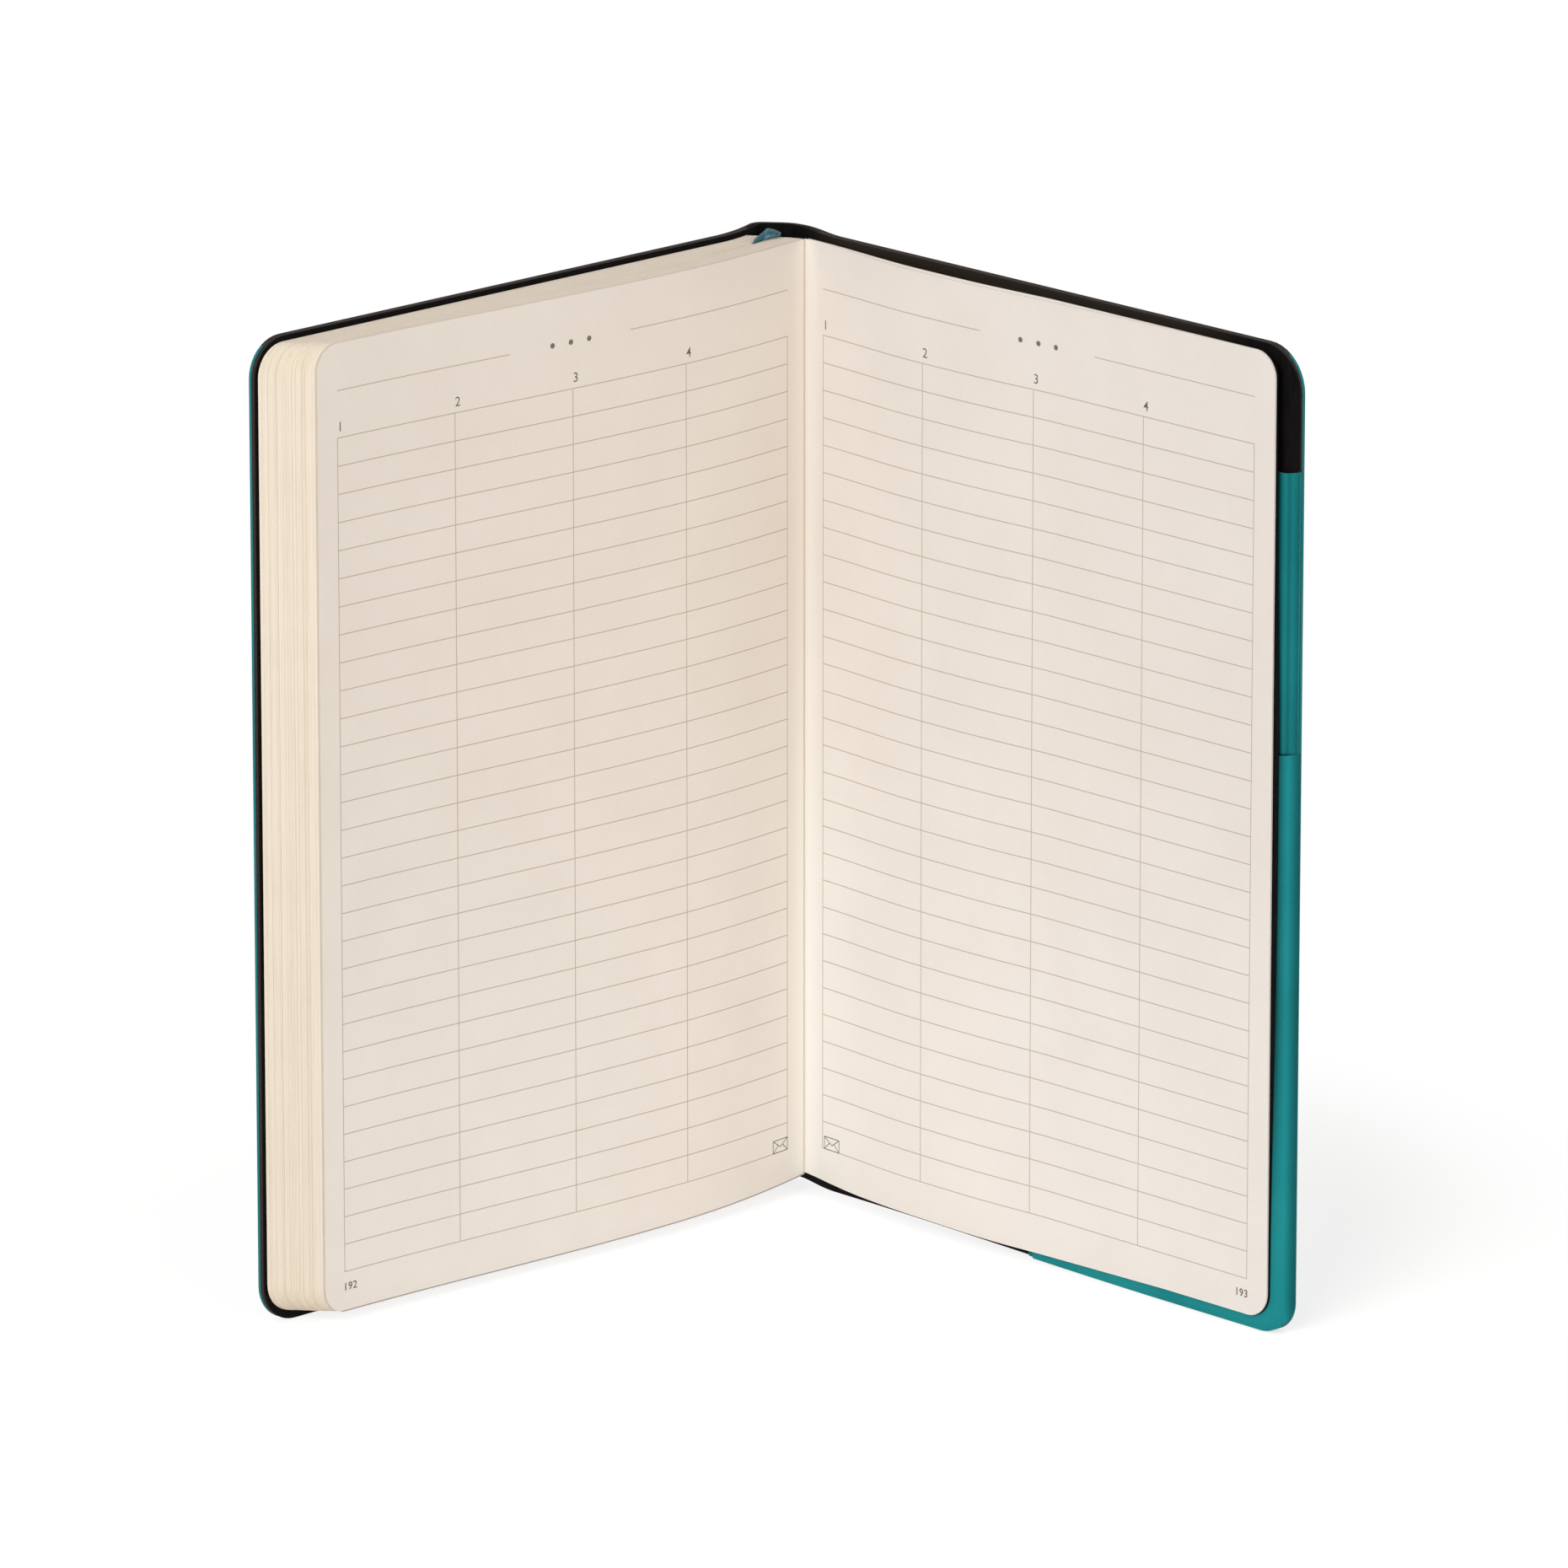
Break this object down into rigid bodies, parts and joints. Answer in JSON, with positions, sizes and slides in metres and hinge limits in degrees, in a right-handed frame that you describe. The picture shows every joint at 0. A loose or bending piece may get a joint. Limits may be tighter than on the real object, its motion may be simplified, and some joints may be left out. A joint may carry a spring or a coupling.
{
  "type": "notebook",
  "caption": "Soft-cover notebook standing open near its end, with sewn sections, rounded corners, loose leaves that turn, a ribbon marker and a card pocket in the back cover.",
  "frame": {"origin": "centre of the footprint, at the level of the tail edges the notebook stands on", "axes": "+Z from tail to head; -Y towards the reader; +X across the opening, towards the back cover"},
  "size_m": [0.1838, 0.0964, 0.1808],
  "materials": {
    "teal_skin": "smooth dark teal imitation leather",
    "black_lining": "matt black lining paper",
    "black_board": "dyed solid board",
    "black_paper": "matt black endpaper",
    "cream_paper": "uncoated cream paper",
    "gauze": "open cotton gauze",
    "thread": "twisted linen thread",
    "ribbon": "narrow woven ribbon"
  },
  "bodies": {
    "text_block": {"section_01": "cream_paper", "section_02": "cream_paper", "section_03": "cream_paper", "section_04": "cream_paper", "section_05": "cream_paper", "section_06": "cream_paper", "section_07": "cream_paper", "section_08": "cream_paper", "section_09": "cream_paper", "section_10": "cream_paper", "section_11": "cream_paper", "section_12": "cream_paper", "spine_mull": "gauze", "sewing_thread": "thread", "ribbon_marker": "ribbon", "spine_skin": "teal_skin", "spine_card": "black_board", "spine_lining": "black_lining", "back_joint_skin": "teal_skin", "back_joint_lining": "black_lining"},
    "front_cover": {"front_cover_skin": "teal_skin", "front_cover_board": "black_board", "front_cover_lining": "black_lining"},
    "front_flyleaf": {"front_flyleaf": "black_paper"},
    "left_leaf_1": {"left_leaf_1": "cream_paper"},
    "left_leaf_2": {"left_leaf_2": "cream_paper"},
    "left_leaf_3": {"left_leaf_3": "cream_paper"},
    "back_cover": {"back_cover_skin": "teal_skin", "back_cover_board": "black_board", "back_cover_lining": "black_lining", "pocket_panel": "teal_skin", "card_slot_panel": "teal_skin", "pocket_edge_binding": "teal_skin"},
    "back_flyleaf": {"back_flyleaf": "black_paper"},
    "last_section": {"section_13": "cream_paper"},
    "right_leaf_1": {"right_leaf_1": "cream_paper"}
  },
  "joints": [
    {"name": "front_cover_hinge", "type": "hinge", "parent": "text_block", "child": "front_cover", "pos_m": [-0.0035, 0.0485, 0.09], "axis": [0, 0, -1], "range_deg": [0, 150]},
    {"name": "front_flyleaf_turn", "type": "hinge", "parent": "text_block", "child": "front_flyleaf", "pos_m": [-0.00493, 0.04139, 0.09], "axis": [0, 0, -1], "range_deg": [0, 75]},
    {"name": "left_leaf_1_turn", "type": "hinge", "parent": "text_block", "child": "left_leaf_1", "pos_m": [0.00549, 0.03828, 0.09], "axis": [0, 0, 1], "range_deg": [0, 75]},
    {"name": "left_leaf_2_turn", "type": "hinge", "parent": "text_block", "child": "left_leaf_2", "pos_m": [0.00549, 0.03828, 0.09], "axis": [0, 0, 1], "range_deg": [0, 50]},
    {"name": "left_leaf_3_turn", "type": "hinge", "parent": "text_block", "child": "left_leaf_3", "pos_m": [0.00549, 0.03828, 0.09], "axis": [0, 0, 1], "range_deg": [0, 25]},
    {"name": "back_cover_hinge", "type": "hinge", "parent": "text_block", "child": "back_cover", "pos_m": [0.00549, 0.03828, 0.09], "axis": [0, 0, 1], "range_deg": [-78, 87], "deforming": ["back_joint_skin", "back_joint_lining"]},
    {"name": "last_section_turn", "type": "hinge", "parent": "back_cover", "child": "last_section", "pos_m": [0.00549, 0.03828, 0.09], "axis": [0, 0, -1], "range_deg": [0, 45]},
    {"name": "back_flyleaf_turn", "type": "hinge", "parent": "back_cover", "child": "back_flyleaf", "pos_m": [0.00549, 0.03828, 0.09], "axis": [0, 0, -1], "range_deg": [0, 22.5]},
    {"name": "right_leaf_1_turn", "type": "hinge", "parent": "last_section", "child": "right_leaf_1", "pos_m": [0.00549, 0.03828, 0.09], "axis": [0, 0, -1], "range_deg": [0, 35]}
  ],
  "couplings": [
    {"joint": "front_flyleaf_turn", "follows": "front_cover_hinge", "ratio": 0.5},
    {"joint": "left_leaf_2_turn", "follows": "left_leaf_1_turn", "ratio": 0.6666},
    {"joint": "left_leaf_3_turn", "follows": "left_leaf_1_turn", "ratio": 0.3333},
    {"joint": "back_flyleaf_turn", "follows": "last_section_turn", "ratio": 0.5}
  ]
}
